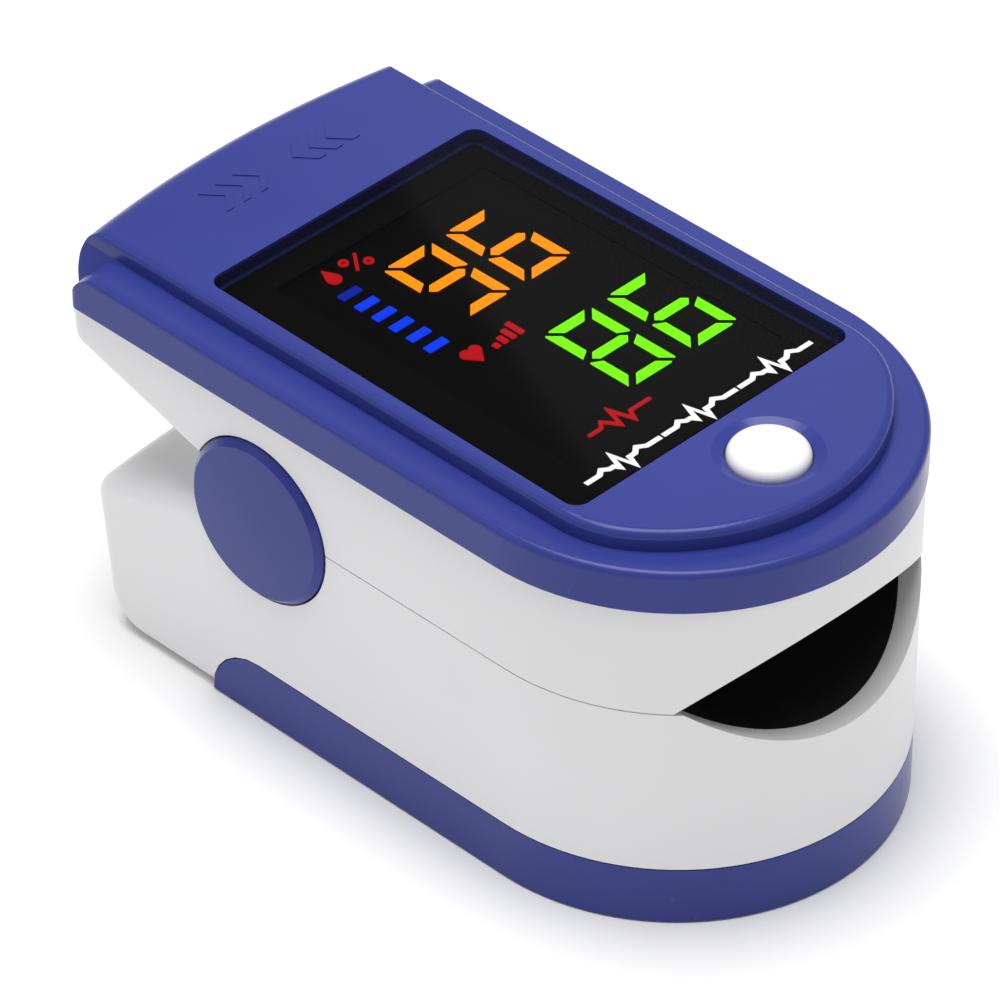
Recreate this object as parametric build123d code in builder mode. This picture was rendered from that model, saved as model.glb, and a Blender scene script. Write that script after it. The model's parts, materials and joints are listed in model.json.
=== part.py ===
from build123d import *
import os
from math import cos, radians, sin, sqrt

# Fingertip pulse oximeter, millimetres. +Z up, the finger opening faces -Y, the origin is the
# centre of the bounding box on the surface that the device rests on.

# ------------------------------------------------------------------ driving dimensions
nose_end = -29.7            # foremost point, above the finger opening
rear_end = 29.7             # rearmost point, on the centre line
rear_arc_radius = 82.7      # plan radius of the arched rear end
shell_half_width = 16.2    # white shells
shell_nose = nose_end + 0.02
shell_wall = 1.3
seam_height = 17.8          # where the two halves meet
seam_gap = 0.1

rim_half_width = 16.75      # blue top cover: broad rim with a raised deck on it
rim_bottom = 26.35
rim_top = 29.5
deck_half_width = 14.0
deck_nose = -26.9
deck_front_sagitta = 8.92     # of the nose arc, measured at the deck's sides
deck_front_corner = 8.5
deck_top = 31.0
deck_foot = 27.8
deck_ridge_radius = 0.6
hood_half_width = 15.05     # rear end of the deck, wider towards its foot
hood_bottom = 26.5
hood_start_y = 20.0
rim_ridge_radius = 0.55
rim_rear = 28.75            # the rim ends short of the deck and rolls down
rim_roll_radius = 3.0
roll_radius = 2.4           # rolled rear edge of the deck

lens_length = 34.3
lens_center_y = 0.55
lens_front_half_width = 13.0
lens_rear_half_width = 12.55
lens_thickness = 1.0
lens_recess = 0.1
lens_corner = 1.0
lens_gap = 0.1
lens_top = deck_top - lens_recess
lens_bottom = lens_top - lens_thickness
ledge_bottom = 28.9         # underside of the ledge that carries the lens
ledge_width = 1.3

button_y = -21.3
button_radius = 2.82
button_top = 31.45
button_flange_radius = 3.5
button_gap = 0.13
switch_plunger_top = 28.75
button_pocket_top = 29.65
dish_radius = 3.75
dish_depth = 0.3
mark_height = 0.08
screw_radius = 0.65
screw_head_radius = 1.2
screw_head_height = 0.7
screw_length = 4.0

hinge_y = 9.5
hinge_z = 17.3
axle_radius = 1.0
axle_half_length = 15.4
rear_lean = 7.7             # the shells' rear end leans in towards the base, degrees
cap_radius = 6.2
cap_inner_x = 14.75
cap_outer_x = 16.75
running_gap = 0.05
clearance = 0.15

mouth_arch_radius = 15.6    # upper edge of the finger opening
mouth_arch_top = 23.4
mouth_trough_radius = 17.5  # lower edge of the finger opening
mouth_trough_bottom = 13.5
pad_thickness = 1.15
pad_gap = 0.05
lip_width = 1.5             # depth of the white lip in front of the soft pads
finger_stop_y = 3.0
window_y = -8.0             # light path through the finger
window_radius = 2.2

cover_height = 4.55         # blue battery cover
cover_end = 14.35
cover_gap = 0.12
cover_wall = 1.2
cover_floor = 1.0

cell_radius = 5.25          # AAA cell, 10.5 x 44.5
cell_length = 44.5
cell_nub_length = 1.0
cell_nub_radius = 1.9
cell_x = 5.4
cell_z = 6.45

board_bottom = 26.6
board_thickness = 0.8
board_top = board_bottom + board_thickness
module_top = 29.5
light_guide_height = 0.12

arch_center_z = mouth_arch_top - mouth_arch_radius
trough_center_z = mouth_trough_bottom + mouth_trough_radius
slope_drop_upper = 0.282    # rear underside of the upper half, rise per mm
slope_drop_lower = 0.33     # rear top of the lower half, fall per mm
slope_start_y = 15.7
slope_upper_z = 19.7
slope_lower_z = 15.3
slope_wall = 1.15
shroud_inner = 4.4
shroud_outer = 5.3
far = 60.0                  # longer than the device, for cutting tools

parts = {}


def keep(name, part):
    """Label a finished piece and put it on the list of pieces to write."""
    part.label = name
    parts[name] = part


def rear_sag(x):
    """How far the arched rear end falls back at a distance from the centre line."""
    return rear_arc_radius - sqrt(rear_arc_radius**2 - x**2)


def plan_outline(height, half_width, nose, rear, corner):
    """Plan outline at a height: half-round nose, straight sides and an arched rear end."""
    shoulder = nose + half_width
    side_end = rear - rear_sag(half_width)
    with BuildSketch(Plane.XY.offset(height)) as plan:
        with BuildLine():
            Line((half_width, shoulder), (half_width, side_end))
            ThreePointArc((half_width, side_end), (0, rear), (-half_width, side_end))
            Line((-half_width, side_end), (-half_width, shoulder))
            ThreePointArc((-half_width, shoulder), (0, nose), (half_width, shoulder))
        make_face()
        fillet(plan.vertices().group_by(Axis.Y)[-1], corner)
    return plan.sketch


def side_outline(points):
    """Side view outline given as (y, z) points."""
    with BuildSketch(Plane.YZ) as view:
        with BuildLine():
            Polyline(*points, close=True)
        make_face()
    return view.sketch


def shell_block(inset, side_view, rounds):
    """Block with the shells' plan, a leaning arched rear end and the side view given as (y, z)."""
    half_width = shell_half_width - inset
    tilt = radians(rear_lean)
    rear = rear_end - 0.05
    axis_point = (0, rear - inset - rear_arc_radius / cos(tilt), rim_bottom)
    bottom_round, top_round, corner_round = rounds
    rear_plane = Plane(origin=axis_point, x_dir=(1, 0, 0), z_dir=(0, sin(tilt), cos(tilt)))
    with BuildPart() as block:
        extrude(plan_outline(-1, half_width, shell_nose + inset, rear + 4, 0.2), amount=far / 2 + 2)
        with BuildSketch(rear_plane) as rear_view:
            Circle(rear_arc_radius)
            Rectangle(2 * half_width, 3 * rear_arc_radius, mode=Mode.INTERSECT)
            if corner_round > bottom_round:
                fillet(rear_view.vertices().group_by(Axis.Y)[-1], corner_round)
        extrude(amount=far, both=True, mode=Mode.INTERSECT)
        extrude(side_outline(side_view), amount=far, both=True, mode=Mode.INTERSECT)
        rear_edges = block.edges().filter_by(lambda edge: edge.center().Y > rear - 4)
        across = rear_edges.filter_by(lambda edge: abs(edge.center().X) < 0.1).sort_by(Axis.Z)
        if bottom_round:
            fillet(across[0], max(bottom_round - inset, 0.2))
        if top_round:
            fillet(across[-1], max(top_round - inset, 0.2))
        if 0 < corner_round <= bottom_round:
            corners = block.edges().filter_by(lambda edge: edge.center().Y > rear - 7).filter_by(
                lambda edge: abs(abs(edge.center().X) - half_width) < 0.02
                and edge.bounding_box().max.Y > rear - 4
                and edge.bounding_box().size.Z > 0.5 * edge.bounding_box().size.Y
            )
            fillet(corners, corner_round)
    return block.part


def side_arc(center, radius, start_angle, end_angle, steps):
    """Points (y, z) along an arc about a centre, angles in degrees from +Y towards +Z."""
    turn = (end_angle - start_angle) / steps
    angles = [radians(start_angle + turn * step) for step in range(steps + 1)]
    return [(center[0] + radius * cos(angle), center[1] + radius * sin(angle)) for angle in angles]


def upper_slope(y):
    """Height of the upper half's rear underside."""
    return slope_upper_z + slope_drop_upper * (y - slope_start_y)


def lower_slope(y):
    """Height of the lower half's rear top."""
    return slope_lower_z - slope_drop_lower * (y - slope_start_y)


def lens_outline(height, margin):
    """Outline of the display window at a height, grown by a margin."""
    front = lens_center_y - lens_length / 2 - margin
    rear = lens_center_y + lens_length / 2 + margin
    front_x = lens_front_half_width + margin
    rear_x = lens_rear_half_width + margin
    with BuildSketch(Plane.XY.offset(height)) as outline:
        with BuildLine():
            Polyline((-front_x, front), (front_x, front), (rear_x, rear), (-rear_x, rear), close=True)
        make_face()
        fillet(outline.vertices(), max(lens_corner + margin, 0.3))
    return outline.sketch


def deck_outline(height, inset):
    """Deck outline at a height: blunt nose, straight sides, flared ears and an arched rear end."""
    half_width = deck_half_width - inset
    front = deck_nose + inset
    front_side = front + deck_front_sagitta
    with BuildSketch(Plane.XY.offset(height)) as outline:
        with BuildLine():
            ThreePointArc((-half_width, front_side), (0, front), (half_width, front_side))
            Line((half_width, front_side), (half_width, rear_end - 4))
            Line((half_width, rear_end - 4), (-half_width, rear_end - 4))
            Line((-half_width, rear_end - 4), (-half_width, front_side))
        make_face()
        fillet(outline.vertices().group_by(Axis.Y)[0], deck_front_corner - inset)
    return outline.sketch


def ring_roll(rear, top, radius):
    """Cutter that rolls over the top edge of an arched rear end."""
    with BuildPart() as cutter:
        with BuildSketch(Plane.YZ):
            with Locations((rear, top)):
                Rectangle(2 * radius, 2 * radius)
            with Locations((rear - radius, top - radius)):
                Circle(radius, mode=Mode.SUBTRACT)
                Rectangle(6 * radius, 2 * radius, align=(Align.CENTER, Align.MAX), mode=Mode.SUBTRACT)
        revolve(axis=Axis((0, rear - rear_arc_radius, 0), (0, 0, 1)), revolution_arc=360)
    return cutter.part


def boss(x, y, bottom, top, radius, bore):
    """Screw boss with a blind bore down from its top."""
    with BuildPart() as post:
        with BuildSketch(Plane.XY.offset(bottom)):
            with Locations((x, y)):
                Circle(radius)
        extrude(amount=top - bottom)
        with BuildSketch(Plane.XY.offset(top)):
            with Locations((x, y)):
                Circle(bore)
        extrude(amount=-screw_length, mode=Mode.SUBTRACT)
    return post.part


def pan_screw(x, y, seat, direction):
    """Pan-head screw seated at a height, its shank pointing along direction (-1 down, 1 up)."""
    with BuildPart() as screw:
        with BuildSketch(Plane.XY.offset(seat)):
            with Locations((x, y)):
                Circle(screw_radius)
        extrude(amount=direction * (screw_length - 0.4))
        with BuildSketch(Plane.XY.offset(seat)):
            with Locations((x, y)):
                Circle(screw_head_radius)
        extrude(amount=-direction * screw_head_height)
        with BuildSketch(Plane.XY.offset(seat - direction * screw_head_height)):
            with Locations((x, y)):
                Rectangle(1.5, 0.28)
                Rectangle(0.28, 1.5)
        extrude(amount=direction * 0.35, mode=Mode.SUBTRACT)
    return screw.part


def band(inner, outer, center_z, start_y, end_y):
    """Round tube along Y between two radii."""
    with BuildPart() as tube:
        with BuildSketch(Plane.XZ.offset(-end_y)):
            with Locations((0, center_z)):
                Circle(outer)
                Circle(inner, mode=Mode.SUBTRACT)
        extrude(amount=end_y - start_y)
    return tube.part


def plan_slab(inset, bottom, top, end_y):
    """Slab with the shells' plan, inset, from the nose back to end_y."""
    with BuildPart() as slab:
        extrude(plan_outline(bottom, shell_half_width - inset, shell_nose + inset, end_y + 8, 0.3),
                amount=top - bottom)
        with Locations((0, end_y + far / 2, (bottom + top) / 2)):
            Box(far, far, far, mode=Mode.SUBTRACT)
    return slab.part


def side_disc(radius, near_x, far_x):
    """Disc about the hinge axis between two distances from the centre, on both sides."""
    with BuildPart() as discs:
        for side in (-1, 1):
            with BuildSketch(Plane.YZ.offset(side * near_x)):
                with Locations((hinge_y, hinge_z)):
                    Circle(radius)
            extrude(amount=side * (far_x - near_x))
    return discs.part


# ------------------------------------------------------------------ blue top cover
with BuildPart() as hood:
    # the deck's rear end, wider towards its foot, stands over the rim's rolled end
    extrude(plan_outline(hood_bottom, hood_half_width, nose_end, rear_end, 0.9),
            amount=deck_top - hood_bottom)
    with BuildSketch(Plane.XZ.offset(-far)):
        with BuildLine():
            right_side = [(hood_half_width, hood_bottom), (14.85, 27.5), (14.45, 28.5),
                          (deck_half_width, rim_top + 0.1), (deck_half_width, deck_top)]
            Polyline(*right_side, *[(-x, z) for x, z in reversed(right_side)], close=True)
        make_face()
    extrude(amount=far - hood_start_y, mode=Mode.INTERSECT)

with BuildPart() as deck:
    extrude(deck_outline(deck_foot, 0), amount=deck_top - deck_foot)
    with Locations((0, rear_end, deck_top)):
        Box(far, 2 * (rear_end - hood_start_y - 1), far, mode=Mode.SUBTRACT)
    add(hood.part)
    ridge = deck.edges().group_by(Axis.Z)[-1].filter_by(lambda edge: edge.center().Y < rear_end - 1)
    fillet(ridge, deck_ridge_radius)
    add(ring_roll(rear_end, deck_top, roll_radius), mode=Mode.SUBTRACT)

with BuildPart() as top_cover:
    extrude(plan_outline(rim_bottom, rim_half_width, nose_end, rim_rear, 0.8), amount=rim_top - rim_bottom)
    fillet(top_cover.edges().group_by(Axis.Z)[-1], rim_ridge_radius)
    add(ring_roll(rim_rear, rim_top, rim_roll_radius), mode=Mode.SUBTRACT)
    add(deck.part)
    # inner pockets for the circuit board and the display
    extrude(plan_outline(rim_bottom, rim_half_width - 1.7, nose_end + 1.7, rear_end - 2.2, 0.9), amount=1.55,
            mode=Mode.SUBTRACT)
    extrude(plan_outline(rim_bottom, deck_half_width - 1.5, deck_nose + 1.0, rear_end - 3.5, 1.5),
            amount=ledge_bottom - rim_bottom, mode=Mode.SUBTRACT)
    extrude(lens_outline(ledge_bottom, -ledge_width), amount=deck_top, mode=Mode.SUBTRACT)
    extrude(lens_outline(lens_bottom, lens_gap), amount=deck_top, mode=Mode.SUBTRACT)
    # button opening: shallow dish, hole and flange pocket
    with BuildSketch(Plane.XY.offset(deck_top)):
        with Locations((0, button_y)):
            Circle(button_radius + button_gap)
    extrude(amount=-far / 6, mode=Mode.SUBTRACT)
    with BuildSketch(Plane.XY.offset(button_pocket_top)):
        with Locations((0, button_y)):
            Circle(button_flange_radius + 0.3)
    extrude(amount=-far / 12, mode=Mode.SUBTRACT)
    with Locations((0, button_y, deck_top - dish_depth / 2)):
        Cone(button_radius + button_gap, dish_radius, dish_depth, mode=Mode.SUBTRACT)
    # raised grip marks on the press zone behind the window
    for side in (-1, 1):
        for step in range(3):
            with BuildSketch(Plane.XY.offset(deck_top)):
                with BuildLine():
                    tip = side * (1.2 + 1.6 * step)
                    heel = tip + side * 1.2
                    Polyline((tip, 23.9), (heel, 22.5), (heel + side * 0.7, 22.5), (tip + side * 0.7, 23.9),
                             (heel + side * 0.7, 25.3), (heel, 25.3), close=True)
                make_face()
            extrude(amount=mark_height)
keep("top_cover", top_cover.part)

# ------------------------------------------------------------------ display window
with BuildPart() as display_lens:
    extrude(lens_outline(lens_bottom, 0), amount=lens_thickness)
    fillet(display_lens.edges().group_by(Axis.Z)[-1], 0.12)
keep("display_lens", display_lens.part)

# ------------------------------------------------------------------ power button
flange_top = button_pocket_top - 0.02
with BuildPart() as power_button:
    with BuildSketch(Plane.XY.offset(flange_top)):
        with Locations((0, button_y)):
            Circle(button_radius)
    extrude(amount=button_top - flange_top)
    fillet(power_button.edges().group_by(Axis.Z)[-1], 0.75)
    with BuildSketch(Plane.XY.offset(flange_top)):
        with Locations((0, button_y)):
            Circle(button_flange_radius)
    extrude(amount=-0.6)
    with BuildSketch(Plane.XY.offset(flange_top - 0.6)):
        with Locations((0, button_y)):
            Circle(1.3)
    extrude(amount=switch_plunger_top - flange_top + 0.6)
keep("power_button", power_button.part)

with BuildPart() as switch_plunger:
    with BuildSketch(Plane.XY.offset(switch_plunger_top)):
        with Locations((0, button_y)):
            Circle(0.9)
    extrude(amount=-0.8)
keep("switch_plunger", switch_plunger.part)

with BuildPart() as tact_switch:
    with BuildSketch(Plane.XY.offset(board_top)):
        with Locations((0, button_y)):
            RectangleRounded(3.6, 3.6, 0.3)
    extrude(amount=switch_plunger_top - 0.4 - board_top)
    with BuildSketch(Plane.XY.offset(switch_plunger_top - 0.4)):
        with Locations((0, button_y)):
            Circle(0.9 + running_gap)
    extrude(amount=-0.83, mode=Mode.SUBTRACT)
keep("tact_switch", tact_switch.part)

# ------------------------------------------------------------------ display and circuit board
screw_places = [(x, y) for x in (-10.8, 10.8) for y in (-16.5, 21.5)]

with BuildPart() as main_pcb:
    extrude(plan_outline(board_bottom, rim_half_width - 2.2, nose_end + 2.2, rear_end - 2.8, 0.6),
            amount=board_thickness)
    with BuildSketch(Plane.XY.offset(board_bottom)):
        with Locations(*screw_places):
            Circle(screw_radius + clearance)
    extrude(amount=board_thickness, mode=Mode.SUBTRACT)
keep("main_pcb", main_pcb.part)

with BuildPart() as display_module:
    with BuildSketch(Plane.XY.offset(board_top)):
        with Locations((0.8, lens_center_y)):
            RectangleRounded(20.4, 29.4, 0.5)
    extrude(amount=module_top - board_top)
keep("display_module", display_module.part)

def lit_digit(left, bottom, width, height, segments):
    """Seven-segment digit: a thin solid with mitred ends for each lit segment."""
    stroke = 0.78
    gap = 0.2
    cut = 0.33
    right = left + width
    top = bottom + height
    middle = bottom + height / 2
    knee = middle + cut
    shoulder = knee + 0.6 * stroke
    bar_left = left + 1.6 * cut
    bar_right = right - 1.6 * cut
    outlines = {
        "a": [(left + gap + cut, top), (right - gap - cut, top), (right - gap - cut - stroke, top - stroke),
              (left + gap + cut + stroke, top - stroke)],
        "f": [(left, knee), (left, top - gap), (left + stroke, top - gap - stroke),
              (left + stroke, shoulder)],
        "g": [(bar_left, middle), (bar_left + stroke / 2, middle + stroke / 2),
              (bar_right - stroke / 2, middle + stroke / 2), (bar_right, middle),
              (bar_right - stroke / 2, middle - stroke / 2), (bar_left + stroke / 2, middle - stroke / 2)],
    }
    outlines["b"] = [(left + right - x, y) for x, y in outlines["f"]]
    outlines["d"] = [(x, bottom + top - y) for x, y in outlines["a"]]
    outlines["e"] = [(x, bottom + top - y) for x, y in outlines["f"]]
    outlines["c"] = [(x, bottom + top - y) for x, y in outlines["b"]]
    with BuildPart() as digit:
        for name in segments:
            with BuildSketch(Plane.XY.offset(module_top)):
                with BuildLine():
                    Polyline(*outlines[name], close=True)
                make_face()
            extrude(amount=light_guide_height)
    return digit.part


spo2_digits = Part() + [
    lit_digit(-2.2, 4.05, 4.45, 7.7, "abcdfg"),
    lit_digit(3.65, 4.05, 4.35, 7.7, "acdefg"),
]
keep("spo2_digits", spo2_digits)
pulse_digits = Part() + [
    lit_digit(0.1, -8.95, 4.45, 8.0, "abcdefg"),
    lit_digit(6.05, -8.95, 4.35, 8.0, "acdefg"),
]
keep("pulse_digits", pulse_digits)

with BuildPart() as signal_bars:
    with BuildSketch(Plane.XY.offset(module_top)):
        with Locations((-5.6, 7.4)):
            with GridLocations(1, 1.62, 1, 6):
                Rectangle(1.75, 0.68)
    extrude(amount=light_guide_height)
keep("signal_bars", signal_bars.part)

with BuildPart() as status_symbols:
    with BuildSketch(Plane.XY.offset(module_top)):
        # droplet, percent sign and two small bubbles
        with Locations((-5.2, 13.35)):
            Circle(0.55)
            Polygon((-0.5, 0.25), (0, 1.25), (0.5, 0.25), align=None)
        with Locations((-3.5, 14.2), (-2.1, 13.2)):
            Circle(0.38)
            Circle(0.17, mode=Mode.SUBTRACT)
        with Locations((-2.8, 13.7)):
            Rectangle(0.24, 1.9, rotation=-38)
        # heart and a rising row of strokes beside it
        with Locations((-4.98, 1.17), (-4.18, 1.17)):
            Circle(0.46)
        with Locations((-4.58, 0.85)):
            Polygon((-0.84, 0.12), (0.84, 0.12), (0, -0.95), align=None)
        for step in range(4):
            with Locations((-2.85 + 0.75 * step, 0.23)):
                Rectangle(0.42, 0.5 + 0.34 * step, align=(Align.CENTER, Align.MIN))
        # pulse wave
        with BuildLine():
            Polyline((-5.65, -10.65), (-4.45, -10.65), (-4.05, -10.15), (-3.65, -10.65), (-3.25, -11.25),
                     (-2.75, -9.65), (-2.15, -11.45), (-1.75, -10.65), (0.15, -10.65))
        trace(line_width=0.26)
    extrude(amount=light_guide_height)
keep("status_symbols", status_symbols.part)


def chip(x, y, size_x, size_y, bottom, top, chamfer_size):
    """Electronic component: a flat package with bevelled upper edges."""
    with BuildPart() as package:
        with BuildSketch(Plane.XY.offset(bottom)):
            with Locations((x, y)):
                Rectangle(size_x, size_y)
        extrude(amount=top - bottom)
        chamfer(package.edges().group_by(Axis.Z)[0], chamfer_size)
    return package.part


keep("microcontroller", chip(0, 20.0, 7.0, 7.0, 25.2, board_bottom, 0.25))
keep("boost_inductor", chip(-7.0, 15.0, 4.0, 4.0, 24.8, board_bottom, 0.3))
keep("flex_socket", chip(0, 14.2, 7.0, 2.6, 25.4, board_bottom, 0.15))
keep("emitter_led", chip(0, window_y, 3.2, 2.6, 25.7, board_bottom, 0.1))
keep("pcb_screws", Part() + [pan_screw(x, y, board_top, -1) for x, y in screw_places])

# ------------------------------------------------------------------ upper half: white housing
upper_view = [
    (-far / 2, rim_bottom),
    (-far / 2, seam_height + seam_gap / 2),
    (hinge_y, seam_height + seam_gap / 2),
    (hinge_y, upper_slope(hinge_y)),
    (far / 2, upper_slope(far / 2)),
    (far / 2, rim_bottom),
]
hinge_center = (hinge_y, hinge_z)
upper_room = [
    (-far / 2, 0),
    (-far / 2, far / 2),
    (far / 2, far / 2),
    (far / 2, upper_slope(far / 2) + slope_wall),
    *side_arc(hinge_center, shroud_outer, 36, 180, 16),
    (hinge_y - shroud_outer, 0),
]
upper_outer = shell_block(0, upper_view, (0.8, 0, 1.5))
upper_inner = shell_block(shell_wall, upper_room, (0, 0, 0))
lip_end = finger_stop_y + 1.1

with BuildPart() as upper_arch:
    add(band(mouth_arch_radius + pad_thickness + pad_gap, 18.0, arch_center_z, shell_nose, lip_end))
    add(plan_slab(shell_wall - 0.3, seam_height + seam_gap / 2, rim_bottom, lip_end), mode=Mode.INTERSECT)
with BuildPart() as upper_lip:
    add(plan_slab(shell_wall - 0.3, seam_height + seam_gap / 2, rim_bottom, lip_end))
    add(plan_slab(lip_width, 0, far / 2, lip_end + far / 6), mode=Mode.SUBTRACT)
    add(band(mouth_arch_radius, 18.0, arch_center_z, shell_nose, lip_end), mode=Mode.INTERSECT)

with BuildPart() as upper_housing:
    add(upper_outer)
    add(upper_inner, mode=Mode.SUBTRACT)
    add(upper_arch.part)
    add(upper_lip.part)
    # end wall of the finger tunnel
    with Locations((0, finger_stop_y + 0.6, (seam_height + arch_center_z + 18.0) / 2)):
        Box(2 * cap_inner_x - 0.3, 1.0, arch_center_z + 18.0 - seam_height - seam_gap)
    for x, y in screw_places:
        add(boss(x, y, upper_slope(y) + 0.6 if y > 0 else 22.0, board_bottom, 1.8, screw_radius + 0.01))
    # finger opening, light window, hinge bay and the round cut-outs for the hinge caps
    with BuildSketch(Plane.XZ.offset(-finger_stop_y)):
        with Locations((0, arch_center_z)):
            Circle(mouth_arch_radius)
    extrude(amount=far, mode=Mode.SUBTRACT)
    with Locations((0, window_y, 24.5)):
        Cylinder(window_radius + 0.1, 6, mode=Mode.SUBTRACT)
    add(side_disc(shroud_inner, -0.1, cap_inner_x - 0.1), mode=Mode.SUBTRACT)
    add(side_disc(cap_radius + clearance, cap_inner_x - 0.1, rim_half_width), mode=Mode.SUBTRACT)
    # slot for the flexible cable
    with Locations((0, 17.2, 20.7)):
        Box(5.2, 0.8, 3.0, mode=Mode.SUBTRACT)
    # hinge ears
    for side in (-1, 1):
        with BuildSketch(Plane.YZ.offset(side * 11.35)):
            with Locations(hinge_center):
                Circle(2.6)
            with Locations((hinge_y, hinge_z + 2.4)):
                Rectangle(4.4, 4.8)
            with Locations(hinge_center):
                Circle(axle_radius + running_gap, mode=Mode.SUBTRACT)
        extrude(amount=side * 1.65)
keep("upper_housing", upper_housing.part)

with BuildPart() as upper_pad:
    add(band(mouth_arch_radius, mouth_arch_radius + pad_thickness, arch_center_z, shell_nose,
             finger_stop_y - 0.05))
    # fingertip stop
    with BuildSketch(Plane.XZ.offset(-finger_stop_y + 0.05)):
        with Locations((0, arch_center_z)):
            Circle(mouth_arch_radius + pad_thickness)
    extrude(amount=1.1)
    add(plan_slab(lip_width + pad_gap, seam_height + 0.1, rim_bottom, finger_stop_y + 1), mode=Mode.INTERSECT)
    with Locations((0, window_y, 24.5)):
        Cylinder(window_radius + 0.1, 6, mode=Mode.SUBTRACT)
keep("upper_pad", upper_pad.part)

with BuildPart() as upper_window:
    with BuildSketch(Plane.XY.offset(23.5)):
        with Locations((0, window_y)):
            Circle(window_radius)
    extrude(amount=2.1)
    fillet(upper_window.edges().group_by(Axis.Z)[0], 0.3)
keep("upper_window", upper_window.part)

# ------------------------------------------------------------------ hinge
with BuildPart() as hinge_axle:
    with BuildSketch(Plane.YZ.offset(-axle_half_length)):
        with Locations(hinge_center):
            Circle(axle_radius)
    extrude(amount=2 * axle_half_length)
    chamfer(hinge_axle.edges().filter_by(GeomType.CIRCLE), 0.15)
keep("hinge_axle", hinge_axle.part)

cap_seat_x = axle_half_length + 0.05
cap_face_radius = cap_radius - 0.45
cap_crown = 0.2
cap_crown_radius = (cap_face_radius**2 + cap_crown**2) / (2 * cap_crown)
with BuildPart() as hinge_cap:
    with BuildSketch(Plane.XY):
        with BuildLine():
            Polyline((0, cap_seat_x), (axle_radius + 0.02, cap_seat_x), (axle_radius + 0.02, cap_inner_x),
                     (cap_radius, cap_inner_x), (cap_radius, cap_outer_x - 0.5),
                     (cap_face_radius, cap_outer_x - 0.05))
            RadiusArc((cap_face_radius, cap_outer_x - 0.05), (0, cap_outer_x - 0.05 + cap_crown),
                      -cap_crown_radius)
            Line((0, cap_outer_x - 0.05 + cap_crown), (0, cap_seat_x))
        make_face()
    revolve(axis=Axis.Y)
cap_place = Plane(origin=(0, hinge_y, hinge_z), x_dir=(0, 1, 0), z_dir=(0, 0, 1))
right_cap = cap_place.location * Rot(0, 0, 180) * hinge_cap.part
left_cap = right_cap.mirror(Plane.YZ)
keep("hinge_cap_left", Part() + (left_cap if left_cap.center().X < 0 else right_cap))
keep("hinge_cap_right", Part() + (right_cap if left_cap.center().X < 0 else left_cap))

coil_radius = 2.2
wire_radius = 0.35
coil_pitch = 0.8
coil_start_x = 10.7
leg_reach = 5.0
leg_spread = 63.9           # angle between a leg's tip and the point where it leaves the coil
lower_leg_angle = -9.0
upper_leg_angle = 15.0
coil_turns = (1440 + lower_leg_angle - upper_leg_angle - 2 * leg_spread) / 360


def hinge_point(x, radius, angle):
    """Point at a polar position about the hinge axis, angle in degrees from +Y towards +Z."""
    return Vector(x, hinge_y + radius * cos(radians(angle)), hinge_z + radius * sin(radians(angle)))


def wire(start, end, radius):
    """Straight round wire between two points."""
    with BuildPart() as rod:
        with BuildSketch(Plane(origin=start, z_dir=end - start)):
            Circle(radius)
        extrude(amount=(end - start).length)
    return rod.part


def coil(place, radius, pitch, height, thickness):
    """Coil of round wire whose first point lies on the place's X direction."""
    with BuildPart() as winding:
        with BuildLine():
            path = place.from_local_coords(Helix(pitch, height, radius))
        with BuildSketch(Plane(origin=path @ 0, z_dir=path % 0)):
            Circle(thickness)
        sweep(path=path, is_frenet=True)
    return winding.part


start_angle = lower_leg_angle - leg_spread
coil_out = Vector(0, cos(radians(start_angle)), sin(radians(start_angle)))
coil_place = Plane(origin=(coil_start_x, hinge_y, hinge_z), x_dir=coil_out, z_dir=(-1, 0, 0))
coil_end_x = coil_start_x - coil_pitch * coil_turns
lower_tip = hinge_point(coil_start_x, leg_reach, lower_leg_angle)
upper_tip = hinge_point(coil_end_x, leg_reach, upper_leg_angle)
lower_root = hinge_point(coil_start_x, coil_radius, start_angle)
upper_root = hinge_point(coil_end_x, coil_radius, upper_leg_angle + leg_spread)
lower_leg = wire(lower_tip, lower_root + (lower_tip - lower_root).normalized() * 0.06, wire_radius)
upper_leg = wire(upper_tip, upper_root + (upper_tip - upper_root).normalized() * 0.06, wire_radius)
winding = coil(coil_place, coil_radius, coil_pitch, coil_pitch * coil_turns, wire_radius)
right_spring = Part() + [winding, lower_leg, upper_leg]
keep("torsion_spring_right", right_spring)
keep("torsion_spring_left", right_spring.mirror(Plane.YZ))

cable_route = [(13.9, 25.3), (15.0, 23.9), (17.2, 22.4), (17.2, 19.2), (17.9, 17.2), (16.8, 15.2),
               (16.8, 12.6), (15.2, 11.0), (-6.3, 11.0)]
with BuildPart() as flex_cable:
    with BuildSketch(Plane.YZ.offset(-2.2)):
        with BuildLine():
            FilletPolyline(*cable_route, radius=0.8)
        trace(line_width=0.16)
    extrude(amount=4.4)
keep("flex_cable", flex_cable.part)

# ------------------------------------------------------------------ lower half: white housing
lower_view = [
    (-far / 2, cover_height + 0.1),
    (-far / 2, seam_height - seam_gap / 2),
    (hinge_y, seam_height - seam_gap / 2),
    (hinge_y, lower_slope(hinge_y)),
    (far / 2, lower_slope(far / 2)),
    (far / 2, 0),
    *side_arc((cover_end + cover_gap - cover_height - 0.1, 0), cover_height + 0.1, 0, 90, 6),
]
lower_room = [
    (-far / 2, -1),
    (-far / 2, far / 2),
    (hinge_y - shroud_outer, far / 2),
    *side_arc(hinge_center, shroud_outer, 180, 330, 16),
    (far / 2, lower_slope(far / 2) - slope_wall),
    (far / 2, cover_floor),
    (cover_end + cover_gap, cover_floor),
    (cover_end + cover_gap, -1),
]
lower_outer = shell_block(0, lower_view, (3.4, 1.6, 1.5))
lower_inner = shell_block(shell_wall, lower_room, (3.4, 0, 0))
tray_inset = 2.3
tray_end = finger_stop_y + 0.9
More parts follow.
